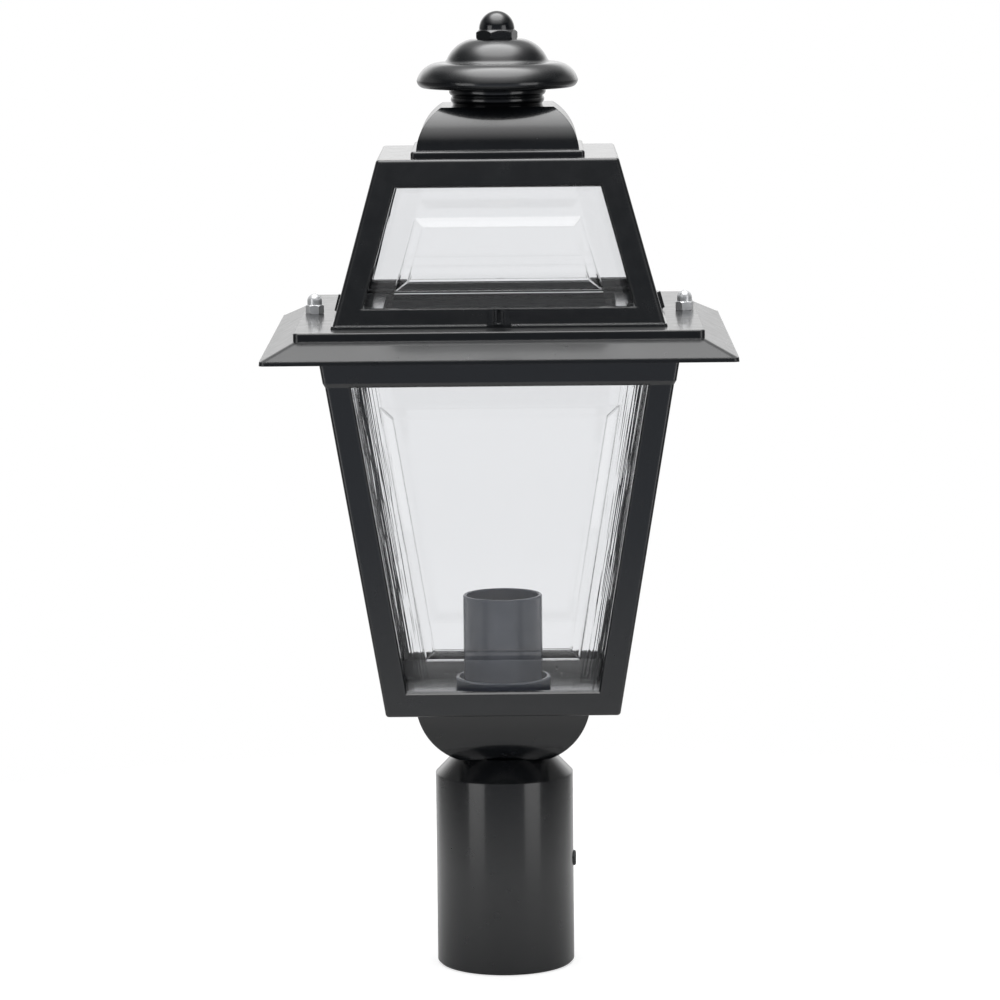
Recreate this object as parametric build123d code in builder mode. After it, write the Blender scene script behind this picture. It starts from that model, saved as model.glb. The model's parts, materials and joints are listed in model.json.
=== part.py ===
from build123d import *
import math
import os

os.makedirs("parts", exist_ok=True)

# Post top lantern: four tapering sides on a round post fitter, lift-off roof with a
# windowed upper storey. Origin: centre of the fitter's open lower end. Front is -Y.

# ---------------------------------------------------------------- driving dimensions
FIT = 0.05             # radial clearance of pieces that turn or slide on each other
SEATED = 0.03          # radial clearance of pieces that stay put
LOOSE = 0.2            # radial clearance of a bolt in a plain hole

FITTER_R = 35.0        # post fitter, outside
FITTER_WALL = 4.0      # leaves a socket for a 60 mm post
SOCKET_TOP = 96.0      # end of the straight socket wall
SHOULDER_Z = 98.6      # the outside cone begins
SHOULDER_DRAW = 10.0   # radius lost over the cone
FITTER_TOP = 109.0
WEB = 5.0              # thickness of the fitter's closed end

SCREW_R = 4.0          # M8 clamp screw
SCREW_Z = 53.0
SCREW_PROUD = 1.3
SCREW_TIP_GAP = 0.2    # the tip stops this far outside the socket wall

CUP_IN = 2.3           # cup's foot inside the cone's small end
CUP_MID = (38.8, 125.0)
CUP_TOP_HALF = 43.4
CUP_WALL = 3.5

BODY_BOTTOM = 138.0
BODY_HALF = 58.2       # half width at the bottom
BODY_SLOPE = 0.1577    # half width gained per mm of height
BODY_TOP = 329.2
FLOOR = 3.5
WALL = 3.5             # wall of both window frames, square to the face
POST = 12.6            # width of a corner post on each face
BODY_WINDOW = (150.4, 305.8)
COLLAR_PROUD = 0.8
COLLAR_BEVEL = 2.4
CORNER_R = 2.0

SEAL = 1.0
PANE = 3.0             # thickness of a pane
PANE_RISE = 2.0        # its middle stands this far out
PANE_LAP = 4.2         # how far a pane reaches behind its frame
BEVEL = 5.2            # width of the sloping strip

GASKET = 2.0
STUD_OUT = 4.65        # stud centre outside the top edge of the body
STUD_R = 2.5           # M5
STUD_HOLE_R = 3.0
EAR_R = 5.0
EAR_TOP = 327.0
EAR_BOTTOM = 317.0

PLATE_MARGIN = 6.2     # plate outside the stud centres
PLATE = 3.0
PLATE_EDGE = 4.3       # height of the plate's upright edge
SKIRT_REACH = 15.8     # skirt outside the plate
LIP = 2.1
LIP_DROP = 14.0        # plate's top face above the lip's lower edge
BRIM_RISE = 5.0        # plate's top face above the body's top
SKIRT_WALL = 2.8       # measured upright

STUD_ROOM = 11.8       # stud centre to the foot of the upper storey
ROOF_SLOPE = 0.2745    # half width lost per mm of height
ROOF_H = 80.4
ROOF_SILL = 10.0       # window's lower edge above the plate
ROOF_HEAD = 12.9       # window's upper edge below the roof's top
ROOF_FLANGE = 3.0
ROOF_CAP = 3.6         # thickness of the roof's closed top
FLANGE_SCREW_IN = 13.2 # flange screws inside the foot of the upper storey
FLANGE_SCREW_R = 2.0   # M4
OPENING_IN = 22.7      # way up into the roof, inside the same foot

CHIMNEY_LEDGE = 16.3   # roof top seen round the chimney
CHIMNEY_FLANGE = 2.9
CHIMNEY_STEP = 2.7     # flange seen round the dome
CHIMNEY_DRAW = (3.0, 12.3)   # half width lost at the middle and at the top
CHIMNEY_RISE = (13.4, 23.6)  # their heights above the roof
CHIMNEY_WALL = 3.5

FINIAL_R = 40.3
FINIAL_H = 32.4
ROD_R = 6.0            # M12 tie rod
CAP_H = 14.1           # finial nut
CAP_HEX_AF = 18.4
CAP_HEX_H = 4.8
CAP_DOME_R = 8.85
CAP_TURN = 14.0        # degrees the finial nut stands turned

NUT_AF = 8.0
NUT_HEX_H = 4.4
NUT_DOME_R = 3.7
NUT_H = 10.0

STEM_R = 8.0           # hollow stem that clamps fitter, cup and body together
STEM_BORE = 5.5
STEM_NUT_AF = 22.0
DISH_R = 24.2          # lamp holder foot
DISH_H = 7.0
DISH_WALL = 1.8
DISH_FLOOR = 2.0
SLEEVE_R = 20.05
SLEEVE_WALL = 1.7
SLEEVE_TOP = 190.3
SHELL_R = 13.3         # E27 screw shell, inside
SHELL_WALL = 0.5
SHELL_TOP = 182.0
EARTH = (0.0, 36.0)    # place of the earth stud, behind the lamp holder

# ---------------------------------------------------------------- computed dimensions
SOCKET_R = FITTER_R - FITTER_WALL
SHOULDER_R = FITTER_R - SHOULDER_DRAW
CUP_BOTTOM_HALF = SHOULDER_R - CUP_IN
SCREW_LENGTH = FITTER_R + SCREW_PROUD - SOCKET_R - SCREW_TIP_GAP
FLOOR_TOP = BODY_BOTTOM + FLOOR
BODY_TOP_HALF = BODY_HALF + BODY_SLOPE * (BODY_TOP - BODY_BOTTOM)
BODY_LEAN = math.atan(BODY_SLOPE)

STUD_X = BODY_TOP_HALF + STUD_OUT
PLATE_TOP = BODY_TOP + BRIM_RISE
PLATE_BOTTOM = PLATE_TOP - PLATE
PLATE_HALF = STUD_X + PLATE_MARGIN
BRIM_HALF = PLATE_HALF + SKIRT_REACH
LIP_BOTTOM = PLATE_TOP - LIP_DROP

ROOF_HALF = STUD_X - STUD_ROOM
ROOF_TOP = PLATE_TOP + ROOF_H
ROOF_TOP_HALF = ROOF_HALF - ROOF_SLOPE * ROOF_H
ROOF_WINDOW = (PLATE_TOP + ROOF_SILL, ROOF_TOP - ROOF_HEAD)
ROOF_LEAN = -math.atan(ROOF_SLOPE)
FLANGE_SCREW_XY = ROOF_HALF - FLANGE_SCREW_IN
ROOF_OPENING = ROOF_HALF - OPENING_IN

CHIMNEY_HALF = ROOF_TOP_HALF - CHIMNEY_LEDGE
CHIMNEY_FOOT_HALF = CHIMNEY_HALF - CHIMNEY_STEP
CHIMNEY_MID = (CHIMNEY_FOOT_HALF - CHIMNEY_DRAW[0], ROOF_TOP + CHIMNEY_RISE[0])
CHIMNEY_TOP_HALF = CHIMNEY_FOOT_HALF - CHIMNEY_DRAW[1]
CHIMNEY_TOP = ROOF_TOP + CHIMNEY_RISE[1]
NUT_SEAT = CHIMNEY_TOP + FINIAL_H

SIDES = {"front": 0, "right": 90, "back": 180, "left": 270}
CORNERS = [
    (x, y) for x in (-FLANGE_SCREW_XY, FLANGE_SCREW_XY) for y in (-FLANGE_SCREW_XY, FLANGE_SCREW_XY)
]


def body_half(z):
    return BODY_HALF + BODY_SLOPE * (z - BODY_BOTTOM)


def roof_half(z):
    return ROOF_HALF - ROOF_SLOPE * (z - PLATE_TOP)


# ---------------------------------------------------------------- shapes used more than once
def square(z, half, corner=0.0):
    """Square outline centred on the axis at height z."""
    with BuildSketch(Plane.XY.offset(z)) as outline:
        if corner:
            RectangleRounded(2 * half, 2 * half, corner)
        else:
            Rectangle(2 * half, 2 * half)
    return outline.sketch


def taper(z0, half0, z1, half1, corner=0.0, mode=Mode.ADD):
    """Four-sided block between two squares."""
    loft([square(z0, half0, corner), square(z1, half1, corner)], ruled=True, mode=mode)


def ring(z0, z1, outer, inner=0.0, at=((0, 0),), mode=Mode.ADD):
    """Upright round block, hollow if inner is given, at each point of a list."""
    with BuildSketch(Plane.XY.offset(z0)) as disc:
        with Locations(*at):
            Circle(outer)
            if inner:
                Circle(inner, mode=Mode.SUBTRACT)
    extrude(disc.sketch, amount=z1 - z0, mode=mode)


def side_plane(turn, half, z, lean):
    """Plane on a leaning face: x runs across the face, y up its slope, z out of it."""
    a = math.radians(turn)
    return Plane(
        origin=(half * math.sin(a), -half * math.cos(a), z),
        x_dir=(math.cos(a), math.sin(a), 0),
        z_dir=(math.cos(lean) * math.sin(a), -math.cos(lean) * math.cos(a), -math.sin(lean)),
    )


def body_side(turn, depth=0.0):
    return side_plane(turn, BODY_HALF, BODY_BOTTOM, BODY_LEAN).offset(-depth)


def roof_side(turn, depth=0.0):
    return side_plane(turn, ROOF_HALF, PLATE_TOP, ROOF_LEAN).offset(-depth)


def opening(window, half_at, base, lean, grow=(0.0, 0.0, 0.0)):
    """Corner points of a window on a leaning face, grown at the side, bottom and top."""
    side, low, high = grow
    z0, z1 = window[0] - low * math.cos(lean), window[1] + high * math.cos(lean)
    pts = []
    for z, sign in ((z0, -1), (z0, 1), (z1, 1), (z1, -1)):
        pts.append((sign * (half_at(z) - POST + side), (z - base) / math.cos(lean)))
    return pts


def body_opening(side=0.0, low=0.0, high=0.0):
    return opening(BODY_WINDOW, body_half, BODY_BOTTOM, BODY_LEAN, (side, low, high))


def roof_opening(side=0.0, low=0.0, high=0.0):
    return opening(ROOF_WINDOW, roof_half, PLATE_TOP, ROOF_LEAN, (side, low, high))


def panel(plane, points):
    with BuildSketch(plane) as face:
        Polygon(*points, align=None)
    return face.sketch


def cut_window(face_at, points_at):
    """Opening right through a leaning wall, its outer edge eased."""
    extrude(panel(face_at(1.0), points_at()), amount=-WALL - 2, mode=Mode.SUBTRACT)
    eased = [panel(face_at(-0.1), points_at(0.9, 0.9, 0.9)), panel(face_at(0.9), points_at())]
    loft(eased, ruled=True, mode=Mode.SUBTRACT)
    extrude(panel(face_at(0.8), points_at()), amount=-0.4, mode=Mode.SUBTRACT)


def glass(face_at, points_at, margins):
    """Moulded pane of even thickness: flat border, sloping strip, middle standing out."""
    side, low, high = margins
    back = WALL + SEAL + PANE
    with BuildPart() as pane:
        extrude(panel(face_at(back), points_at(PANE_LAP, PANE_LAP, PANE_LAP)), amount=PANE)
        for depth, mode in ((back - PANE, Mode.ADD), (back, Mode.SUBTRACT)):
            foot = panel(face_at(depth), points_at(-side, -low, -high))
            crown = panel(
                face_at(depth - PANE_RISE), points_at(-side - BEVEL, -low - BEVEL, -high - BEVEL)
            )
            loft([foot, crown], ruled=True, mode=mode)
    return pane.part


def seal_strip(face_at, points_at):
    """Flat bead between a frame and its pane."""
    edge, show = PANE_LAP - 0.4, 0.4
    with BuildPart() as strip:
        extrude(panel(face_at(WALL + SEAL), points_at(edge, edge, edge)), amount=SEAL)
        extrude(
            panel(face_at(WALL + SEAL + 1), points_at(show, show, show)),
            amount=SEAL + 2,
            mode=Mode.SUBTRACT,
        )
    return strip.part


def vault(foot, mid, top):
    """Square block whose four sides follow one arc, meeting in curved hips."""
    width = 2 * max(foot[0], mid[0], top[0])
    with BuildPart() as block:
        for plane, mode in ((Plane.XZ, Mode.ADD), (Plane.YZ, Mode.INTERSECT)):
            with BuildSketch(plane) as side:
                with BuildLine():
                    ThreePointArc(foot, mid, top)
                    ThreePointArc(*[(-x, z) for x, z in (foot, mid, top)])
                    Line(top, (-top[0], top[1]))
                    Line(foot, (-foot[0], foot[1]))
                make_face()
            extrude(side.sketch, amount=width, both=True, mode=mode)
    return block.part


def hexagon(z, across_flats, turn=0.0):
    with BuildSketch(Plane.XY.offset(z)) as outline:
        RegularPolygon(across_flats / 2, 6, major_radius=False, rotation=turn)
    return outline.sketch


def plain_nut(z, height, across_flats, bore, turn=0.0):
    """Hexagon nut with its corners turned off at both faces."""
    corner = across_flats / math.sqrt(3)
    with BuildPart() as nut:
        extrude(hexagon(z, across_flats, turn), amount=height)
        with BuildSketch(Plane.XZ) as side:
            ease = 0.5 * (corner - across_flats / 2)
            Polygon(
                (0, z), (across_flats / 2, z), (corner, z + ease), (corner, z + height - ease),
                (across_flats / 2, z + height), (0, z + height), align=None,
            )
        revolve(side.sketch, axis=Axis.Z, mode=Mode.INTERSECT)
        ring(z - 1, z + height + 1, bore, mode=Mode.SUBTRACT)
    return nut.part


def cap_nut(z, height, across_flats, hex_height, dome, bore, depth, turn=0.0):
    """Hexagon nut with a closed dome and a blind hole."""
    corner = across_flats / math.sqrt(3)
    with BuildPart() as nut:
        extrude(hexagon(z, across_flats, turn), amount=hex_height)
        with BuildSketch(Plane.XZ) as side:
            ease = 0.5 * (corner - across_flats / 2)
            Polygon(
                (0, z), (corner - ease, z), (corner, z + ease), (corner, z + hex_height - 2 * ease),
                (dome + 0.1, z + hex_height), (0, z + hex_height), align=None,
            )
        revolve(side.sketch, axis=Axis.Z, mode=Mode.INTERSECT)
        with BuildSketch(Plane.XZ) as crown:
            with BuildLine():
                spring = z + height - dome
                Polyline((0, z + hex_height - 0.5), (dome, z + hex_height - 0.5), (dome, spring))
                ThreePointArc(
                    (dome, spring),
                    (dome * math.sin(math.pi / 4), spring + dome * math.cos(math.pi / 4)),
                    (0, z + height),
                )
                Line((0, z + height), (0, z + hex_height - 0.5))
            make_face()
        revolve(crown.sketch, axis=Axis.Z)
        ring(z, z + depth, bore, mode=Mode.SUBTRACT)
    return nut.part


def pan_screw(x, y, seat, shank_r, length, head_r, head_h):
    """Slotted pan-head screw standing on its seat, head up and shank down."""
    with BuildPart() as screw:
        with BuildSketch(Plane.XZ) as side:
            Polygon(
                (0, -length), (shank_r, -length), (shank_r, 0), (head_r, 0),
                (head_r, 0.5 * head_h), (0.75 * head_r, head_h), (0, head_h), align=None,
            )
        revolve(side.sketch, axis=Axis.Z)
        with BuildSketch(Plane.XY.offset(head_h)) as slot:
            Rectangle(2.4 * head_r, 0.3 * head_r)
        extrude(slot.sketch, amount=-0.45 * head_h, mode=Mode.SUBTRACT)
    return screw.part.moved(Location((x, y, seat)))


def save(part, name):
    part.label = name
    export_step(part, f"parts/{name}.step")


# ---------------------------------------------------------------- post fitter
with BuildPart() as post_fitter:
    with BuildSketch(Plane.XZ) as wall:
        with BuildLine():
            Polyline(
                (SOCKET_R + 0.8, 0), (FITTER_R - 1.2, 0), (FITTER_R, 1.2),
                (FITTER_R, SHOULDER_Z), (SHOULDER_R, FITTER_TOP),
                (STEM_R + LOOSE, FITTER_TOP), (STEM_R + LOOSE, FITTER_TOP - WEB),
                (SHOULDER_R - 4, FITTER_TOP - WEB), (SOCKET_R, SOCKET_TOP), (SOCKET_R, 0.8),
                (SOCKET_R + 0.8, 0),
            )
        make_face()
        outer = wall.vertices().filter_by(lambda v: v.X > SHOULDER_R - 1 and v.Z > SHOULDER_Z - 1)
        fillet(outer, 2.0)
    revolve(axis=Axis.Z)
    for plane in (Plane.YZ, Plane.XZ.offset(-FITTER_R - 1)):
        with BuildSketch(plane) as tapped:
            with Locations((0, SCREW_Z)):
                Circle(SCREW_R + FIT)
        extrude(tapped.sketch, amount=FITTER_R + 1, mode=Mode.SUBTRACT)
save(post_fitter.part, "post_fitter")


def clamp_screw(outward):
    """Headless screw with a hexagon socket, standing along a sideways axis."""
    tip = SOCKET_R + SCREW_TIP_GAP
    with BuildPart() as screw:
        with BuildSketch(Plane.XZ) as side:
            with BuildLine():
                Polyline(
                    (0, 0), (SCREW_R - 1.0, 0), (SCREW_R, 0.8), (SCREW_R, SCREW_LENGTH - 0.9)
                )
                ThreePointArc(
                    (SCREW_R, SCREW_LENGTH - 0.9), (SCREW_R - 0.35, SCREW_LENGTH - 0.28),
                    (SCREW_R - 1.1, SCREW_LENGTH),
                )
                Polyline((SCREW_R - 1.1, SCREW_LENGTH), (0, SCREW_LENGTH), (0, 0))
            make_face()
        revolve(side.sketch, axis=Axis.Z)
        extrude(hexagon(SCREW_LENGTH, 4.0), amount=-2.8, mode=Mode.SUBTRACT)
    if outward == "right":
        place = Plane(origin=(tip, 0, SCREW_Z), x_dir=(0, 1, 0), z_dir=(1, 0, 0))
    else:
        place = Plane(origin=(0, tip, SCREW_Z), x_dir=(1, 0, 0), z_dir=(0, 1, 0))
    return screw.part.moved(place.location)


for name in ("right", "back"):
    save(clamp_screw(name), f"clamp_screw_{name}")

# ---------------------------------------------------------------- cup under the body
with BuildPart() as base_cup:
    add(vault((CUP_BOTTOM_HALF, FITTER_TOP), CUP_MID, (CUP_TOP_HALF, BODY_BOTTOM)))
    inner_mid = (CUP_MID[0] - CUP_WALL, CUP_MID[1])
    add(
        vault(
            (CUP_BOTTOM_HALF + 1.5, FITTER_TOP + 4),
            inner_mid,
            (CUP_TOP_HALF - CUP_WALL, BODY_BOTTOM + 0.01),
        ),
        mode=Mode.SUBTRACT,
    )
    ring(FITTER_TOP - 1, FITTER_TOP + 6, STEM_R + LOOSE, mode=Mode.SUBTRACT)
save(base_cup.part, "base_cup")

# ---------------------------------------------------------------- body frame
with BuildPart() as body_frame:
    taper(BODY_BOTTOM, BODY_HALF, BODY_TOP, body_half(BODY_TOP), CORNER_R)
    fillet(body_frame.faces().sort_by(Axis.Z)[0].edges(), 1.6)
    bevel_top = BODY_WINDOW[1] + COLLAR_BEVEL
    taper(
        BODY_WINDOW[1] + 0.2, body_half(BODY_WINDOW[1]),
        bevel_top, body_half(bevel_top) + COLLAR_PROUD, CORNER_R,
    )
    taper(
        bevel_top, body_half(bevel_top) + COLLAR_PROUD,
        BODY_TOP, body_half(BODY_TOP) + COLLAR_PROUD, CORNER_R,
    )
    inset = WALL / math.cos(BODY_LEAN)
    taper(
        FLOOR_TOP, body_half(FLOOR_TOP) - inset,
        BODY_TOP + 1, body_half(BODY_TOP + 1) - inset, mode=Mode.SUBTRACT,
    )
    for turn in SIDES.values():
        cut_window(lambda depth, turn=turn: body_side(turn, depth), body_opening)
    for side in (-1, 1):
        with BuildSketch(Plane.XY.offset(EAR_BOTTOM)) as ear:
            with Locations((side * STUD_X, 0)):
                Circle(EAR_R)
            root_x = body_half(EAR_BOTTOM) - 1.5
            with Locations((side * (STUD_X + root_x) / 2, 0)):
                Rectangle(STUD_X - root_x, 2 * EAR_R)
        extrude(ear.sketch, amount=EAR_TOP - EAR_BOTTOM)
    ring(
        EAR_BOTTOM - 1, EAR_TOP + 1, STUD_R + SEATED,
        at=((-STUD_X, 0), (STUD_X, 0)), mode=Mode.SUBTRACT,
    )
    ring(BODY_BOTTOM - 1, FLOOR_TOP + 1, STEM_R + LOOSE, mode=Mode.SUBTRACT)
    ring(BODY_BOTTOM - 1, FLOOR_TOP + 1, 2.0 + SEATED, at=(EARTH,), mode=Mode.SUBTRACT)
save(body_frame.part, "body_frame")

# ---------------------------------------------------------------- body glazing
body_margins = (12.0, 15.6, 11.5)
for side_name, turn in SIDES.items():
    pane = glass(lambda depth, turn=turn: body_side(turn, depth), body_opening, body_margins)
    save(pane, f"body_pane_{side_name}")

with BuildPart() as body_pane_seals:
    for turn in SIDES.values():
        add(seal_strip(lambda depth, turn=turn: body_side(turn, depth), body_opening))
save(body_pane_seals.part, "body_pane_seals")

# ---------------------------------------------------------------- stem and its nuts
stem_foot = SOCKET_TOP + 0.2
dish_floor_top = FLOOR_TOP + DISH_FLOOR
with BuildPart() as stem_tube:
    ring(stem_foot, dish_floor_top + 4.8, STEM_R, STEM_BORE)
    ends = stem_tube.edges().filter_by(GeomType.CIRCLE)
    chamfer(ends.filter_by(lambda e: e.radius > STEM_R - 0.5), 0.5)
save(stem_tube.part, "stem_tube")

save(plain_nut(dish_floor_top, 4.0, STEM_NUT_AF, STEM_R + SEATED, 30), "stem_nut_upper")
save(
    plain_nut(FITTER_TOP - WEB - 7.5, 6.0, STEM_NUT_AF, STEM_R + SEATED, 30), "stem_nut_lower"
)
with BuildPart() as stem_washer:
    ring(FITTER_TOP - WEB - 1.5, FITTER_TOP - WEB, 15.0, STEM_R + LOOSE)
save(stem_washer.part, "stem_washer")

# ---------------------------------------------------------------- lamp holder
BOSS_X = SLEEVE_R - 5.05
with BuildPart() as holder_foot:
    ring(FLOOR_TOP, FLOOR_TOP + DISH_H, DISH_R)
    chamfer(holder_foot.faces().sort_by(Axis.Z)[-1].edges(), 0.7)
    ring(dish_floor_top, FLOOR_TOP + DISH_H + 1, DISH_R - DISH_WALL, mode=Mode.SUBTRACT)
    ring(dish_floor_top - 0.5, FLOOR_TOP + DISH_H, 2.7, at=((-BOSS_X, 0), (BOSS_X, 0)))
    ring(FLOOR_TOP - 1, dish_floor_top + 1, STEM_R + LOOSE, mode=Mode.SUBTRACT)
    ring(
        FLOOR_TOP + 1, FLOOR_TOP + DISH_H + 1, 1.5 + SEATED,
        at=((-BOSS_X, 0), (BOSS_X, 0)), mode=Mode.SUBTRACT,
    )
save(holder_foot.part, "holder_foot")

core_bottom = FLOOR_TOP + DISH_H
core_web = core_bottom + 7.5
shell_bottom = core_web + 2.5
CORE_R = SLEEVE_R - SLEEVE_WALL
with BuildPart() as holder_core:
    ring(core_bottom, core_web, CORE_R)
    ring(core_web, SHELL_TOP - 4, CORE_R, SHELL_R + SHELL_WALL)
    ring(core_web, shell_bottom, SHELL_R + SHELL_WALL, 10.5)
    for x in (-BOSS_X, BOSS_X):
        ring(core_bottom - 1, SHELL_TOP, 1.7, at=((x, 0),), mode=Mode.SUBTRACT)
        ring(core_bottom + 3, SHELL_TOP, 2.8, at=((x, 0),), mode=Mode.SUBTRACT)
    ring(
        core_bottom - 1, core_web - 1.5, 3.4,
        at=((0, 9.5), (0, -9.5)), mode=Mode.SUBTRACT,
    )
    with BuildSketch(Plane.XY.offset(core_web)) as slot:
        with Locations((-10, 0)):
            Rectangle(7.4, 6.4)
    extrude(slot.sketch, amount=shell_bottom - core_web, mode=Mode.SUBTRACT)
save(holder_core.part, "holder_core")

with BuildPart() as holder_screws:
    for x in (-BOSS_X, BOSS_X):
        add(pan_screw(x, 0, core_bottom + 3, 1.5, 8.0, 2.6, 2.0))
save(holder_screws.part, "holder_screws")

with BuildPart() as screw_shell:
    with BuildSketch(Plane.XZ) as side:
        out = SHELL_R + SHELL_WALL
        Polygon(
            (SHELL_R - 1.4, shell_bottom), (out, shell_bottom), (out, SHELL_TOP - 1),
            (out + 1.0, SHELL_TOP - 0.3), (out + 1.0, SHELL_TOP), (SHELL_R + 0.9, SHELL_TOP),
            (SHELL_R, SHELL_TOP - 1.2), (SHELL_R, shell_bottom + SHELL_WALL + 1.4),
            (SHELL_R - 1.4, shell_bottom + SHELL_WALL), align=None,
        )
    revolve(axis=Axis.Z)
save(screw_shell.part, "screw_shell")

with BuildPart() as centre_contact:
    leaf = [(-8.6, 0.7), (-7.4, 0.7), (-2.2, 3.1), (2.4, 3.1), (3.6, 1.9)]
    with BuildSketch(Plane.XZ) as profile:
        with BuildLine():
            low = Polyline(*[(x, core_web + z) for x, z in leaf])
            offset(low, amount=0.5, side=Side.LEFT)
        make_face()
    extrude(amount=2.5, both=True)
save(centre_contact.part, "centre_contact")

with BuildPart() as holder_sleeve:
    with BuildSketch(Plane.XZ) as side:
        Polygon(
            (CORE_R, core_bottom - 2.5), (SLEEVE_R, core_bottom - 2.5),
            (SLEEVE_R, SLEEVE_TOP - 0.5), (SLEEVE_R - 0.5, SLEEVE_TOP),
            (CORE_R + 0.4, SLEEVE_TOP), (CORE_R, SLEEVE_TOP - 0.4), align=None,
        )
    revolve(axis=Axis.Z)
save(holder_sleeve.part, "holder_sleeve")

# ---------------------------------------------------------------- earth stud
with BuildPart() as earth_stud:
    ring(BODY_BOTTOM, FLOOR_TOP + 8.0, 2.0, at=(EARTH,))
    chamfer(earth_stud.faces().sort_by(Axis.Z)[-1].edges(), 0.4)
save(earth_stud.part, "earth_stud")
earth_nut = plain_nut(FLOOR_TOP, 3.0, 7.0, 2.0 + SEATED).moved(Location((*EARTH, 0)))
save(earth_nut, "earth_nut")

# ---------------------------------------------------------------- joint between body and roof
with BuildPart() as roof_gasket:
    outer = body_half(BODY_TOP) + COLLAR_PROUD - 0.5
    inner = body_half(BODY_TOP) - inset + 0.3
    extrude(square(BODY_TOP, outer, CORNER_R), amount=GASKET)
    extrude(square(BODY_TOP - 1, inner), amount=GASKET + 2, mode=Mode.SUBTRACT)
save(roof_gasket.part, "roof_gasket")

stud_points = ((-STUD_X, 0), (STUD_X, 0))
with BuildPart() as roof_studs:
    ring(EAR_BOTTOM, PLATE_TOP + 7.3, STUD_R, at=stud_points)
    chamfer(roof_studs.faces().sort_by(Axis.Z)[-2:].edges(), 0.5)
save(roof_studs.part, "roof_studs")

for name, x in (("left", -STUD_X), ("right", STUD_X)):
    nut = cap_nut(
        PLATE_TOP, NUT_H, NUT_AF, NUT_HEX_H, NUT_DOME_R, STUD_R + FIT, 8.0, 0 if x < 0 else 12
    )
    save(nut.moved(Location((x, 0, 0))), f"roof_nut_{name}")

# ---------------------------------------------------------------- brim
edge_bottom = PLATE_TOP - PLATE_EDGE
lip_top = LIP_BOTTOM + LIP
skirt_fall = (edge_bottom - lip_top) / (BRIM_HALF - 0.6 - PLATE_HALF)
plate_in = PLATE_HALF - 3.2
in_top = edge_bottom - SKIRT_WALL + skirt_fall * (PLATE_HALF - plate_in)
in_bottom_half = plate_in + (in_top - LIP_BOTTOM) / skirt_fall
with BuildPart() as brim:
    taper(edge_bottom, PLATE_HALF, PLATE_TOP, PLATE_HALF, 3.0)
    fillet(brim.faces().sort_by(Axis.Z)[-1].edges(), 0.8)
    taper(lip_top, BRIM_HALF - 0.6, edge_bottom, PLATE_HALF, 3.0)
    taper(LIP_BOTTOM, BRIM_HALF, lip_top, BRIM_HALF - 0.2, 3.0)
    extrude(square(in_top, plate_in, 1.5), amount=PLATE_BOTTOM - in_top, mode=Mode.SUBTRACT)
    taper(LIP_BOTTOM, in_bottom_half, in_top, plate_in, 1.5, mode=Mode.SUBTRACT)
    ring(EAR_TOP, PLATE_BOTTOM + 0.5, EAR_R, at=stud_points)
    clear_of_collar = body_half(BODY_TOP) + COLLAR_PROUD + 0.6
    extrude(square(EAR_TOP - 1, clear_of_collar), amount=PLATE_BOTTOM - EAR_TOP + 1, mode=Mode.SUBTRACT)
    ring(EAR_TOP - 1, PLATE_TOP + 1, STUD_HOLE_R, at=stud_points, mode=Mode.SUBTRACT)
    extrude(square(PLATE_BOTTOM - 1, ROOF_OPENING, 3.0), amount=PLATE + 2, mode=Mode.SUBTRACT)
    ring(
        PLATE_BOTTOM - 1, PLATE_TOP + 1, FLANGE_SCREW_R + LOOSE, at=CORNERS, mode=Mode.SUBTRACT
    )
save(brim.part, "brim")

# ---------------------------------------------------------------- upper storey frame
with BuildPart() as roof_frame:
    taper(PLATE_TOP, ROOF_HALF, ROOF_TOP, roof_half(ROOF_TOP), CORNER_R)
    fillet(roof_frame.faces().sort_by(Axis.Z)[-1].edges(), 1.5)
    taper(PLATE_TOP, ROOF_HALF + 0.7, PLATE_TOP + 1.4, roof_half(PLATE_TOP + 1.4) + 0.7, CORNER_R)
    roof_inset = WALL / math.cos(ROOF_LEAN)
    taper(
        PLATE_TOP + ROOF_FLANGE, roof_half(PLATE_TOP + ROOF_FLANGE) - roof_inset,
        ROOF_TOP - ROOF_CAP, roof_half(ROOF_TOP - ROOF_CAP) - roof_inset, mode=Mode.SUBTRACT,
    )
    extrude(square(PLATE_TOP - 1, ROOF_OPENING, 3.0), amount=ROOF_FLANGE + 2, mode=Mode.SUBTRACT)
    for turn in SIDES.values():
        cut_window(lambda depth, turn=turn: roof_side(turn, depth), roof_opening)
        lug = [(-5.9, 0.9), (5.9, 0.9), (4.7, 9.6), (-4.7, 9.6)]
        extrude(panel(roof_side(turn, 1.0), lug), amount=2.2)
        bar_top = [(-2.0, 1.0), (2.0, 1.0), (1.7, 9.4), (-1.7, 9.4)]
        bar_foot = [(-2.9, 0.9), (2.9, 0.9), (2.6, 9.5), (-2.6, 9.5)]
        bar = [panel(roof_side(turn, -1.1), bar_foot), panel(roof_side(turn, -2.2), bar_top)]
        loft(bar, ruled=True)
        with BuildSketch(roof_side(turn, -2.3)) as slit:
            with Locations((0, 5.3)):
                SlotOverall(6.8, 1.6, rotation=90)
        extrude(slit.sketch, amount=-2.2, mode=Mode.SUBTRACT)
    ring(
        PLATE_TOP - 1, PLATE_TOP + ROOF_FLANGE + 1, FLANGE_SCREW_R + SEATED,
        at=CORNERS, mode=Mode.SUBTRACT,
    )
    ring(ROOF_TOP - 6, ROOF_TOP + 1, ROD_R + LOOSE, mode=Mode.SUBTRACT)
save(roof_frame.part, "roof_frame")

with BuildPart() as roof_frame_screws:
    for x, y in CORNERS:
        screw = pan_screw(0, 0, 0, FLANGE_SCREW_R, PLATE + ROOF_FLANGE - 0.2, 4.0, 2.6)
        add(screw.moved(Location((x, y, PLATE_BOTTOM), (180, 0, 0))))
save(roof_frame_screws.part, "roof_frame_screws")

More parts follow.
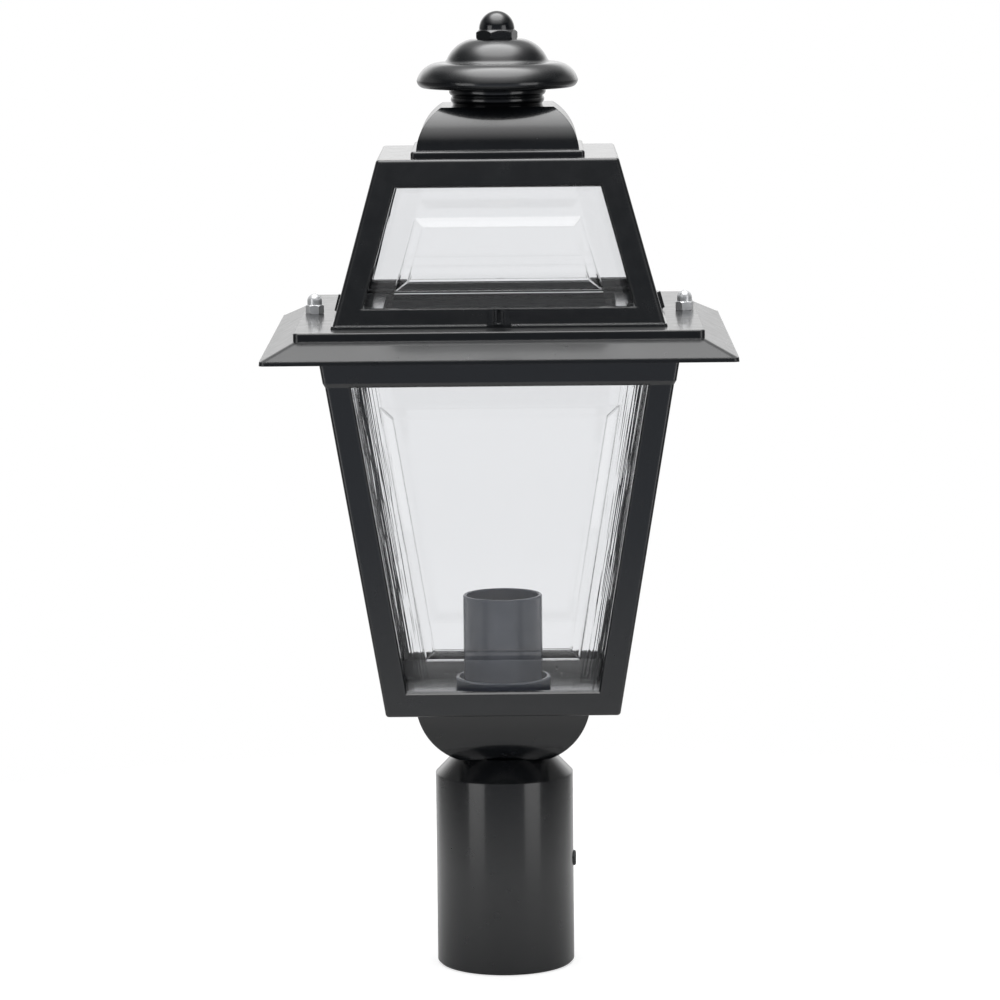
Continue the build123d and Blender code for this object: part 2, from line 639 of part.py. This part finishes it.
roof_margins = (13.2, 9.0, 14.5)
for side_name, turn in SIDES.items():
    pane = glass(lambda depth, turn=turn: roof_side(turn, depth), roof_opening, roof_margins)
    save(pane, f"roof_pane_{side_name}")

with BuildPart() as roof_pane_seals:
    for turn in SIDES.values():
        add(seal_strip(lambda depth, turn=turn: roof_side(turn, depth), roof_opening))
save(roof_pane_seals.part, "roof_pane_seals")

# ---------------------------------------------------------------- chimney and finial
chimney_foot = ROOF_TOP + CHIMNEY_FLANGE
with BuildPart() as chimney_dome:
    extrude(square(ROOF_TOP, CHIMNEY_HALF, 2.0), amount=CHIMNEY_FLANGE)
    fillet(chimney_dome.faces().sort_by(Axis.Z)[-1].edges(), 1.2)
    add(
        vault(
            (CHIMNEY_FOOT_HALF, chimney_foot), CHIMNEY_MID, (CHIMNEY_TOP_HALF, CHIMNEY_TOP)
        )
    )
    add(
        vault(
            (CHIMNEY_FOOT_HALF - CHIMNEY_WALL, ROOF_TOP),
            (CHIMNEY_MID[0] - CHIMNEY_WALL, CHIMNEY_MID[1] - 3),
            (CHIMNEY_TOP_HALF - CHIMNEY_WALL, CHIMNEY_TOP - 4),
        ),
        mode=Mode.SUBTRACT,
    )
    ring(CHIMNEY_TOP - 6, CHIMNEY_TOP + 1, ROD_R + LOOSE, mode=Mode.SUBTRACT)
save(chimney_dome.part, "chimney_dome")


def turned(across, up):
    """Point of the finial's outline, in shares of its radius and its height."""
    return across * FINIAL_R, CHIMNEY_TOP + up * FINIAL_H


with BuildPart() as finial:
    bore_foot = (ROD_R + LOOSE, CHIMNEY_TOP)
    bore_top = (ROD_R + LOOSE, NUT_SEAT)
    low_bead = [turned(0.561, 0.03), turned(0.580, 0.085), turned(0.560, 0.14)]
    high_bead = [low_bead[-1], turned(0.600, 0.20), turned(0.582, 0.26)]
    disc_edge = [turned(0.900, 0.26), turned(0.973, 0.297), turned(1.0, 0.375)]
    disc_top = [disc_edge[-1], turned(0.915, 0.553), turned(0.700, 0.650)]
    hollow = [disc_top[-1], turned(0.645, 0.668), turned(0.618, 0.713)]
    crown = [hollow[-1], turned(0.533, 0.866), turned(0.340, 1.0)]
    with BuildSketch(Plane.XZ) as side:
        with BuildLine():
            Polyline(bore_top, bore_foot, turned(0.556, 0.0), low_bead[0])
            ThreePointArc(*low_bead)
            ThreePointArc(*high_bead)
            Line(high_bead[-1], disc_edge[0])
            ThreePointArc(*disc_edge)
            ThreePointArc(*disc_top)
            ThreePointArc(*hollow)
            ThreePointArc(*crown)
            Line(crown[-1], bore_top)
        make_face()
    revolve(axis=Axis.Z)
save(finial.part, "finial")

rod_foot, rod_top = ROOF_TOP - 14.2, NUT_SEAT + 9.0
with BuildPart() as tie_rod:
    ring(rod_foot, rod_top, ROD_R)
    chamfer(tie_rod.edges().filter_by(GeomType.CIRCLE), 0.7)
save(tie_rod.part, "tie_rod")

finial_nut = cap_nut(
    NUT_SEAT, CAP_H, CAP_HEX_AF, CAP_HEX_H, CAP_DOME_R, ROD_R + SEATED, 9.8, CAP_TURN
)
save(finial_nut, "finial_nut")

under_top = ROOF_TOP - ROOF_CAP
with BuildPart() as tie_rod_washer:
    ring(under_top - 2.0, under_top, 12.0, ROD_R + LOOSE)
save(tie_rod_washer.part, "tie_rod_washer")
save(plain_nut(under_top - 9.0, 7.0, 18.0, ROD_R + SEATED), "tie_rod_nut")
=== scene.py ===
import json
import math

import bmesh
import bpy
from mathutils import Matrix, Vector


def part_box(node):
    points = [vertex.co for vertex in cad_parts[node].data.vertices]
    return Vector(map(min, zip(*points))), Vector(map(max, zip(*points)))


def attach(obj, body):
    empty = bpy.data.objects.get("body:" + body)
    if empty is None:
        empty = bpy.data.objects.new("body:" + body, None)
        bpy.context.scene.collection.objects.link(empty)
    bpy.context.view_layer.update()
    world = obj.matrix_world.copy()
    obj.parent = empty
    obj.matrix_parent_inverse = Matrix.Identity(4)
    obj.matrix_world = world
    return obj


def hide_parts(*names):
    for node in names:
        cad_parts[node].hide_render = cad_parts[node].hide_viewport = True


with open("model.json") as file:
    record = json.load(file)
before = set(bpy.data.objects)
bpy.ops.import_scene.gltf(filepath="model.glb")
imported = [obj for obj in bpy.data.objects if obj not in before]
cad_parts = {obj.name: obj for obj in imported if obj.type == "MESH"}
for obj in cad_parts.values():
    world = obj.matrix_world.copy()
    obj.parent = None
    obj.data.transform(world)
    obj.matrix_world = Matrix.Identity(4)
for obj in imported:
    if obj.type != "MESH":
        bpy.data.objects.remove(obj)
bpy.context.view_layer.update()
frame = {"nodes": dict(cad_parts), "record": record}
NODES = frame["nodes"]
MM = 0.001

# ---------------------------------------------------------------- camera, fitted to the photograph
CAMERA_DISTANCE = 2.179      # metres in front of the lantern's axis
CAMERA_HEIGHT = 0.5504
CAMERA_SIDE = -0.0008
LOOKS_DOWN = math.radians(8.15)
ROLL = math.radians(0.59)
OBJECT_TURN = math.radians(-0.312)
FOCAL_LENGTH = 156.5         # millimetres, like the sensor
SENSOR_WIDTH = 36.0
CLIP_NEAR, CLIP_FAR = 0.05, 100.0

# ---------------------------------------------------------------- colours, linear
BLACK_COAT = (0.0038, 0.0046, 0.0056)
DARK_PLASTIC = (0.098, 0.106, 0.134)
RUBBER_BLACK = (0.012, 0.012, 0.013)
NICKEL = (0.78, 0.79, 0.80)
ZINC = (0.55, 0.56, 0.58)
BRASS = (0.74, 0.56, 0.27)
GLAZE = (0.78, 0.77, 0.73)
CLEAR = (0.895, 0.90, 0.91)
GLASS_SHADE = (0.93, 0.94, 0.945)    # what a pane leaves of the light that goes through it
PAPER_WHITE = (0.44, 0.44, 0.44)
WHITE = (1.0, 1.0, 1.0)

# ---------------------------------------------------------------- relief of the moulded panes
# Margins: from a pane's side, bottom and top edge to the foot of its sloping strip.
# Swell: rise of the side borders. Runs: depth of the wavy lines that the mould left there.
BODY_PANE = {"margins": (16.2 * MM, 19.7 * MM, 15.6 * MM), "swell": 3.4 * MM, "runs": 0.30 * MM}
ROOF_PANE = {"margins": (17.4 * MM, 12.7 * MM, 18.1 * MM), "swell": 2.1 * MM, "runs": 0.03 * MM}
PANE_END = 3 * MM            # corners this near to the end of a pane belong to it
SWELL_START = 3 * MM         # from the side edge, hidden in the frame
BORDER_WIDTH = 17 * MM       # from a pane's side edge to the foot of its bevel
RUNS_FADE = (BORDER_WIDTH - 2 * MM, BORDER_WIDTH + 5 * MM)
RUN_SLOPE, RUN_SHIFT = 0.02, 0.06    # how slowly a run changes up the pane and from pane to pane
STRIP_WIDTH = 5.2 * MM
STRIP_STEP = 0.26 * MM       # small step along both edges of the strip
STEP_RUN = 0.6 * MM          # half the width that a step takes
STEP_SHARES = (1.0, 0.12)    # share of the step at the pane's foot and from its middle up
WAVE_DEPTH = 0.10 * MM

# ---------------------------------------------------------------- floor and light
FLOOR_EDGE = (0.24, 0.55)    # the sheet fades out between these distances from the axis
FLOOR_DROP = 0.3 * MM
FLOOR_LIFT = 0.66            # glow that only the camera sees, straight or through glass
# Light level against the sine of the elevation: behind the lantern a lit sheet with a dim gap
# over it, on the camera's side a lit floor and a dim room, and a soft box overhead that reaches
# further down in front.
BACK_BANDS = (
    (-0.06, 0.55), (0.0, 0.75), (0.12, 1.15), (0.36, 1.1), (0.50, 0.5),
    (0.66, 0.5), (0.80, 0.8), (0.87, 1.9), (0.93, 5.2), (0.98, 5.6),
)
ROOM_BANDS = (
    (-0.50, 0.40), (-0.34, 0.28), (-0.20, 0.10), (-0.12, 0.14), (0.0, 0.16), (0.20, 0.16),
    (0.45, 0.08), (0.60, 0.9), (0.80, 1.9), (0.87, 3.4), (0.98, 4.4),
)
ROOM_TINT = (0.92, 0.98, 1.10)
TINT_END = 0.5               # the room is tinted below this sine
ROOM_TO_BACK = (-0.25, 0.45)     # parts of a direction along y between which one turns to the other
SIDES = (0.35, 0.75)         # parts of a direction along x between which the light falls off
SIDE_LEVEL = 0.25
BOX_PLACE = (1.2, -1.1, 0.2)     # soft box at the right, in metres; its twin mirrors it
BOX_WIDTH, BOX_HEIGHT = 0.8, 1.7
BOX_WATTS = 6.0


# ---------------------------------------------------------------- node trees
class Nodes:
    """A node tree and short ways to add to it."""

    def __init__(self, tree):
        self.tree = tree

    def new(self, kind, **settings):
        node = self.tree.nodes.new(kind)
        for key, value in settings.items():
            setattr(node, key, value)
        return node

    def link(self, source, target):
        self.tree.links.new(source, target)

    def sum(self, operation, *values):
        """One step of arithmetic on sockets or plain numbers."""
        node = self.new("ShaderNodeMath", operation=operation)
        for socket, value in zip(node.inputs, values):
            if isinstance(value, (int, float)):
                socket.default_value = value
            else:
                self.link(value, socket)
        return node.outputs["Value"]

    def spread(self, value, to_min, to_max, from_min=0.3, from_max=0.7, clamp=True, curve="LINEAR"):
        """A value carried from one range over to another."""
        node = self.new("ShaderNodeMapRange", clamp=clamp, interpolation_type=curve)
        for key, number in (
            ("From Min", from_min), ("From Max", from_max), ("To Min", to_min), ("To Max", to_max)
        ):
            node.inputs[key].default_value = number
        self.link(value, node.inputs["Value"])
        return node.outputs["Result"]

    def split(self, vector):
        node = self.new("ShaderNodeSeparateXYZ")
        self.link(vector, node.inputs["Vector"])
        return [node.outputs[axis] for axis in "XYZ"]

    def rays(self, *kinds):
        """1 for rays of either of two kinds, 0 for all others."""
        path = self.new("ShaderNodeLightPath")
        return self.sum("MAXIMUM", *(path.outputs[f"Is {kind} Ray"] for kind in kinds))

    def mix(self, share, one, two):
        """Shader that goes from one to two as the share goes from 0 to 1."""
        node = self.new("ShaderNodeMixShader")
        self.link(share, node.inputs["Fac"])
        self.link(one, node.inputs[1])
        self.link(two, node.inputs[2])
        return node.outputs["Shader"]


class Shader(Nodes):
    """Node tree of one material, around its Principled shader."""

    def __init__(self, name):
        self.material = bpy.data.materials.new(name)
        self.material.use_nodes = True
        super().__init__(self.material.node_tree)
        self.main = self.tree.nodes["Principled BSDF"]
        self.surface = self.tree.nodes["Material Output"].inputs["Surface"]
        self.place = self.new("ShaderNodeTexCoord").outputs["Object"]

    def set(self, **values):
        """Constants on the shader's own sockets, by name with _ for a space."""
        for key, value in values.items():
            socket = self.main.inputs[key.replace("_", " ")]
            socket.default_value = (*value, 1.0) if isinstance(value, tuple) else value

    def noise(self, per_metre, detail=3.0, stretch=(1, 1, 1), at_place=None):
        """Cloudy pattern from 0 to 1, its size given by spots per metre."""
        at = self.new("ShaderNodeMapping")
        at.inputs["Scale"].default_value = stretch
        self.link(at_place or self.place, at.inputs["Vector"])
        node = self.new("ShaderNodeTexNoise")
        node.inputs["Scale"].default_value = per_metre
        node.inputs["Detail"].default_value = detail
        node.inputs["Roughness"].default_value = 0.55
        self.link(at.outputs["Vector"], node.inputs["Vector"])
        return node.outputs["Fac"]

    def colour(self, pattern, colour, share, low=0.3, high=0.8):
        """Base colour that drifts to a share of itself between two levels of a pattern."""
        node = self.new("ShaderNodeValToRGB")
        stops = node.color_ramp.elements
        for stop, position, factor in ((stops[0], low, 1.0), (stops[1], high, share)):
            stop.position = position
            stop.color = (*(factor * part for part in colour), 1)
        self.link(pattern, node.inputs["Fac"])
        self.link(node.outputs["Color"], self.main.inputs["Base Color"])

    def roughness(self, pattern, smooth, rough):
        self.link(self.spread(pattern, smooth, rough), self.main.inputs["Roughness"])

    def bump(self, height, depth, strength=1.0, under=None, round_edges=0.0):
        """Relief of a real depth in metres, on top of another or of rounded edges."""
        node = self.new("ShaderNodeBump")
        node.inputs["Strength"].default_value = strength
        node.inputs["Distance"].default_value = depth
        self.link(height, node.inputs["Height"])
        if under is not None:
            self.link(under, node.inputs["Normal"])
        elif round_edges:
            edge = self.new("ShaderNodeBevel", samples=4)
            edge.inputs["Radius"].default_value = round_edges
            self.link(edge.outputs["Normal"], node.inputs["Normal"])
        self.link(node.outputs["Normal"], self.main.inputs["Normal"])
        return node.outputs["Normal"]


# ---------------------------------------------------------------- materials
def powder_coat(name, roughness=(0.20, 0.28), coat=0.8):
    """Satin black coat on a casting: fine orange peel, faint clouds and a thin gloss on top."""
    s = Shader(name)
    s.set(Specular_IOR_Level=0.5, Coat_Weight=coat, Coat_Roughness=0.10, Coat_IOR=1.5)
    s.colour(s.noise(38, detail=4), BLACK_COAT, share=1.35, low=0.35, high=0.7)
    s.roughness(s.noise(120, detail=5), *roughness)
    peel = s.bump(s.noise(400, detail=2), depth=0.006 * MM, strength=0.12, round_edges=1.1 * MM)
    s.bump(s.noise(90, detail=1), depth=0.05 * MM, strength=0.3, under=peel)
    return s.material


def moulded_plastic():
    """Dark slate plastic with a very fine grain."""
    s = Shader("slate_plastic")
    s.colour(s.noise(60), DARK_PLASTIC, share=1.25, high=0.75)
    s.roughness(s.noise(300, detail=4), smooth=0.18, rough=0.27)
    s.bump(s.noise(300, detail=2), depth=0.006 * MM, strength=0.12, round_edges=0.3 * MM)
    return s.material


def glazed_ceramic():
    """Creamy glaze, a little uneven."""
    s = Shader("glazed_ceramic")
    s.colour(s.noise(90), GLAZE, share=0.9)
    s.roughness(s.noise(200), smooth=0.14, rough=0.24)
    s.bump(s.noise(220, detail=1), depth=0.05 * MM, strength=0.4, round_edges=0.3 * MM)
    return s.material


def soft_seal():
    """Matt black bead that was smoothed by hand."""
    s = Shader("sealing_bead")
    s.colour(s.noise(150), RUBBER_BLACK, share=1.6)
    s.roughness(s.noise(400), smooth=0.55, rough=0.75)
    s.bump(s.noise(600), depth=0.08 * MM, strength=0.6)
    return s.material


def bare_metal(name, colour, roughness, scratch=0.01 * MM, pitch=0.0, metallic=1.0):
    """Plated or plain metal: hairlines, cloudy roughness and, if given, a thread pitch."""
    s = Shader(name)
    s.set(Metallic=metallic)
    s.colour(s.noise(260, detail=5), colour, share=0.82, low=0.35, high=0.75)
    s.roughness(s.noise(500, detail=6), *roughness)
    hairlines = s.noise(2500, detail=2, stretch=(1, 1, 0.05))
    hair = s.bump(hairlines, depth=scratch, strength=0.5, round_edges=0.2 * MM)
    if pitch:
        groove = 0.35 * pitch
        wave_rate = 20.0             # the wave texture's own measure: radians per scale and metre
        turns = s.new("ShaderNodeTexWave", wave_type="BANDS", bands_direction="Z")
        turns.inputs["Scale"].default_value = math.tau / (wave_rate * pitch)
        s.link(s.place, turns.inputs["Vector"])
        s.bump(turns.outputs["Fac"], groove, strength=0.8, under=hair)
    return s.material


def pane_outline(node):
    """Height and half width of a pane's narrow end and of its wide end."""
    points = [vertex.co for vertex in NODES[node].data.vertices]
    ends = []
    for z in (min(p.z for p in points), max(p.z for p in points)):
        ends.append((z, max(abs(p.x) for p in points if abs(p.z - z) < PANE_END)))
    return ends


def pane_relief(s, outline, margins, swell, runs):
    """Height map of a pane: swollen side borders with runs, the strip's steps and soft waves."""
    x, y, z = s.split(s.place)
    (low, half_low), (high, half_high) = outline
    half = s.spread(z, half_low, half_high, low, high, clamp=False)
    across = s.sum("MINIMUM", s.sum("ABSOLUTE", x), s.sum("ABSOLUTE", y))
    from_edge = s.sum("SUBTRACT", half, across)
    relief = s.spread(from_edge, 0.0, swell, SWELL_START, BORDER_WIDTH)

    side, at_foot, at_head = margins
    to_strip = s.sum("SUBTRACT", from_edge, side)
    to_strip = s.sum("MINIMUM", to_strip, s.sum("SUBTRACT", z, low + at_foot))
    to_strip = s.sum("MINIMUM", to_strip, s.sum("SUBTRACT", high - at_head, z))
    share = s.spread(z, *STEP_SHARES, low, (low + high) / 2)
    for at in (0.0, STRIP_WIDTH):
        step = s.spread(to_strip, 0.0, STRIP_STEP, at - STEP_RUN, at + STEP_RUN)
        relief = s.sum("ADD", relief, s.sum("MULTIPLY", step, share))

    along = s.new("ShaderNodeCombineXYZ")
    s.link(from_edge, along.inputs["X"])
    s.link(s.sum("MULTIPLY", z, RUN_SLOPE), along.inputs["Y"])
    s.link(s.sum("MULTIPLY", s.sum("ADD", x, y), RUN_SHIFT), along.inputs["Z"])
    wavy = s.noise(420, detail=2, at_place=along.outputs["Vector"])
    at_border = s.spread(from_edge, runs, 0.0, *RUNS_FADE)
    relief = s.sum("ADD", relief, s.sum("MULTIPLY", wavy, at_border))
    waves = s.noise(22, detail=1, stretch=(1, 1, 0.4))
    return s.sum("ADD", relief, s.sum("MULTIPLY", waves, WAVE_DEPTH))


def clear_glass(name, outline, **relief):
    """Clear moulded pane that lets light pass without a shadow of its own."""
    s = Shader(name)
    s.set(Base_Color=CLEAR, Transmission_Weight=1.0, IOR=1.47, Specular_IOR_Level=0.5)
    s.roughness(s.noise(45), smooth=0.0, rough=0.012)
    s.bump(pane_relief(s, outline, **relief), depth=1.0, round_edges=0.8 * MM)
    see_through = s.new("ShaderNodeBsdfTransparent")
    see_through.inputs["Color"].default_value = (*GLASS_SHADE, 1)
    passes = s.rays("Shadow", "Diffuse")
    s.link(s.mix(passes, s.main.outputs["BSDF"], see_through.outputs["BSDF"]), s.surface)
    return s.material


FINISHES = {
    "black_paint": powder_coat("satin_black_coat"),
    "black_nut": powder_coat("black_nut_coat", roughness=(0.12, 0.2)),
    "black_steel": powder_coat("blackened_steel", roughness=(0.35, 0.45)),
    "bright_nut": bare_metal("bright_nickel", NICKEL, (0.22, 0.26), 0.003 * MM, metallic=0.42),
    "zinc_steel": bare_metal("zinc_plated_steel", ZINC, (0.28, 0.42), 0.02 * MM),
    "clear_glass": clear_glass("body_glass", pane_outline("body_pane_front"), **BODY_PANE),
    "sealant": soft_seal(),
    "grey_plastic": moulded_plastic(),
    "white_ceramic": glazed_ceramic(),
    "brass": bare_metal("rolled_brass", BRASS, (0.22, 0.34)),
}
# Pieces whose look differs from their slot's finish.
OWN_FINISH = {"brim": powder_coat("satin_black_plate", roughness=(0.27, 0.34), coat=0.55)}
for node, name, pitch in (
    ("roof_studs", "m5_thread", 0.8 * MM),
    ("tie_rod", "m12_thread", 1.75 * MM),
    ("earth_stud", "m4_thread", 0.7 * MM),
    ("stem_tube", "stem_thread", 1.0 * MM),
):
    OWN_FINISH[node] = bare_metal(name, ZINC, (0.25, 0.4), pitch=pitch)
roof_glass = clear_glass("roof_glass", pane_outline("roof_pane_front"), **ROOF_PANE)
for side in ("front", "right", "back", "left"):
    OWN_FINISH[f"roof_pane_{side}"] = roof_glass

for piece in frame["record"]["subparts"]:
    node, slot_name = piece["node"], piece["material_slot"]
    for slot in NODES[node].material_slots:
        slot.material = OWN_FINISH.get(node, FINISHES[slot_name])


# ---------------------------------------------------------------- pieces made here
def mesh_of(bm, name):
    mesh = bpy.data.meshes.new(name)
    bm.to_mesh(mesh)
    bm.free()
    return mesh


def add_object(name, data):
    added = bpy.data.objects.new(name, data)
    bpy.context.scene.collection.objects.link(added)
    return added


def rolled_shell():
    """Thin brass shell whose wall follows a round thread, open at the top with a turned lip."""
    low, high = (Vector(corner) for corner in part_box("screw_shell"))
    pitch, depth, wall = 3.6 * MM, 0.95 * MM, 0.4 * MM
    lip_out, side_gap, end_gap = 0.9 * MM, 0.2 * MM, 0.1 * MM
    around, rows = 96, 96
    outer = (high.x - low.x) / 2 - lip_out - side_gap
    foot, head = low.z + end_gap, high.z - end_gap
    base, top = foot + 0.5 * MM, head - 1.3 * MM
    hole, bend = outer - 3.0 * MM, outer - 0.6 * MM
    lip, lip_inside = outer + lip_out, outer + 0.4 * MM
    bm = bmesh.new()
    rings = []

    def add_ring(radius_at, z):
        ring = []
        for i in range(around):
            a = math.tau * i / around
            r = radius_at(a, z)
            ring.append(bm.verts.new((r * math.cos(a), r * math.sin(a), z)))
        rings.append(ring)

    def add_circle(radius, z):
        add_ring(lambda a, z: radius, z)

    def thread(a, z):
        fade = min(1.0, (z - base) / pitch, (top - z) / pitch)
        wave = 0.5 - 0.5 * math.cos(math.tau * z / pitch - a)
        return outer - wall - depth * wave * max(0.0, fade)

    add_circle(hole, foot)
    add_circle(bend, foot)
    for k in range(rows + 1):
        add_ring(lambda a, z: thread(a, z) + wall, base + (top - base) * k / rows)
    add_circle(lip, head - wall)
    add_circle(lip, head)
    add_circle(lip_inside, head)
    for k in range(rows + 1):
        add_ring(thread, top - (top - base) * k / rows)
    add_circle(bend - wall, foot + wall)
    add_circle(hole, foot + wall)
    for one, two in zip(rings, rings[1:] + rings[:1]):
        for i in range(around):
            j = (i + 1) % around
            bm.faces.new((one[i], one[j], two[j], two[i]))
    bmesh.ops.recalc_face_normals(bm, faces=bm.faces)
    mesh = mesh_of(bm, "screw_shell_thread")
    mesh.shade_smooth()
    mesh.materials.append(FINISHES["brass"])
    piece = add_object("screw_shell_thread", mesh)
    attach(piece, "lantern")
    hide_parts("screw_shell")


# ---------------------------------------------------------------- floor, light and camera
def soft_floor():
    """Round pale sheet under the lantern that fades out, so no edge shows in a reflection."""
    bm = bmesh.new()
    bmesh.ops.create_circle(bm, cap_ends=True, segments=96, radius=FLOOR_EDGE[1])
    floor = add_object("floor", mesh_of(bm, "floor"))
    floor.location.z = -FLOOR_DROP
    s = Shader("pale_floor")
    s.set(Roughness=0.9, Specular_IOR_Level=0.1)
    s.colour(s.noise(4), PAPER_WHITE, share=0.985)
    glow = s.new("ShaderNodeEmission")
    lift = s.sum("MULTIPLY", s.rays("Camera", "Transmission"), FLOOR_LIFT)
    s.link(lift, glow.inputs["Strength"])
    lit = s.new("ShaderNodeAddShader")
    s.link(s.main.outputs["BSDF"], lit.inputs[0])
    s.link(glow.outputs["Emission"], lit.inputs[1])
    away = s.new("ShaderNodeVectorMath", operation="LENGTH")
    s.link(s.place, away.inputs[0])
    fade = s.spread(away.outputs["Value"], 0.0, 1.0, *FLOOR_EDGE)
    gone = s.new("ShaderNodeBsdfTransparent")
    s.link(s.mix(fade, lit.outputs["Shader"], gone.outputs["BSDF"]), s.surface)
    floor.data.materials.append(s.material)


def studio_world():
    """White backdrop for the camera; for all other rays, light by elevation and heading."""
    world = bpy.data.worlds.new("studio")
    world.use_nodes = True
    world.node_tree.nodes.clear()
    bpy.context.scene.world = world
    w = Nodes(world.node_tree)
    x, y, z = w.split(w.new("ShaderNodeTexCoord").outputs["Generated"])
    height = w.spread(z, 0.0, 1.0, -1.0, 1.0)
    peak = max(level for _, level in BACK_BANDS)

    def bands(levels, tint):
        """Colour for each elevation, as a share of the peak."""
        ramp = w.new("ShaderNodeValToRGB")
        stops = ramp.color_ramp.elements
        stops.remove(stops[1])
        stops[0].position = (levels[0][0] + 1) / 2
        for rise, _ in levels[1:]:
            stops.new((rise + 1) / 2)
        for stop, (rise, level) in zip(stops, levels):
            cast = tint if rise < TINT_END else WHITE
            stop.color = (*(level / peak * share for share in cast), 1)
        w.link(height, ramp.inputs["Fac"])
        return ramp.outputs["Color"]

    behind = w.spread(y, 0.0, 1.0, *ROOM_TO_BACK, curve="SMOOTHSTEP")
    around = w.new("ShaderNodeMix", data_type="RGBA")
    w.link(behind, around.inputs["Factor"])
    w.link(bands(ROOM_BANDS, ROOM_TINT), around.inputs["A"])
    w.link(bands(BACK_BANDS, WHITE), around.inputs["B"])
    sideways = w.sum("ABSOLUTE", x)
    strength = w.spread(sideways, peak, peak * SIDE_LEVEL, *SIDES, curve="SMOOTHSTEP")
    studio = w.new("ShaderNodeBackground")
    w.link(around.outputs["Result"], studio.inputs["Color"])
    w.link(strength, studio.inputs["Strength"])
    backdrop = w.new("ShaderNodeBackground")
    backdrop.inputs["Color"].default_value = (*WHITE, 1)
    seen = w.rays("Camera", "Transmission")
    light = w.mix(seen, studio.outputs["Background"], backdrop.outputs["Background"])
    w.link(light, w.new("ShaderNodeOutputWorld").inputs["Surface"])


def soft_box(name, side):
    """Upright lamp that faces the lantern from in front, at the left (-1) or the right (1)."""
    light = bpy.data.lights.new(name, "AREA")
    light.shape = "RECTANGLE"
    light.size, light.size_y = BOX_WIDTH, BOX_HEIGHT
    light.energy = BOX_WATTS
    lamp = add_object(name, light)
    across, ahead, up = BOX_PLACE
    lamp.location = (side * across, ahead, up)
    aim = Vector((-side * across, -ahead, 0.0))
    lamp.rotation_euler = aim.to_track_quat("-Z", "Y").to_euler()
    lamp.visible_camera = False
    lamp.visible_transmission = False


def photo_camera():
    """Camera that looks down and a little tilted, turned about the lantern's axis."""
    data = bpy.data.cameras.new("camera")
    data.sensor_width = SENSOR_WIDTH
    data.lens = FOCAL_LENGTH
    data.dof.use_dof = False
    data.clip_start, data.clip_end = CLIP_NEAR, CLIP_FAR
    camera = add_object("camera", data)
    right = Vector((1, 0, 0))
    ahead = Vector((0, math.cos(LOOKS_DOWN), -math.sin(LOOKS_DOWN)))
    above = right.cross(ahead)
    tilted_right = math.cos(ROLL) * right - math.sin(ROLL) * above
    tilted_above = math.sin(ROLL) * right + math.cos(ROLL) * above
    pose = Matrix((tilted_right, tilted_above, -ahead)).transposed().to_4x4()
    pose.translation = (CAMERA_SIDE, -CAMERA_DISTANCE, CAMERA_HEIGHT)
    camera.matrix_world = Matrix.Rotation(-OBJECT_TURN, 4, "Z") @ pose
    bpy.context.scene.camera = camera


rolled_shell()
soft_floor()
studio_world()
soft_box("left_box", -1)
soft_box("right_box", 1)
photo_camera()
bpy.context.scene.view_settings.view_transform = "Standard"
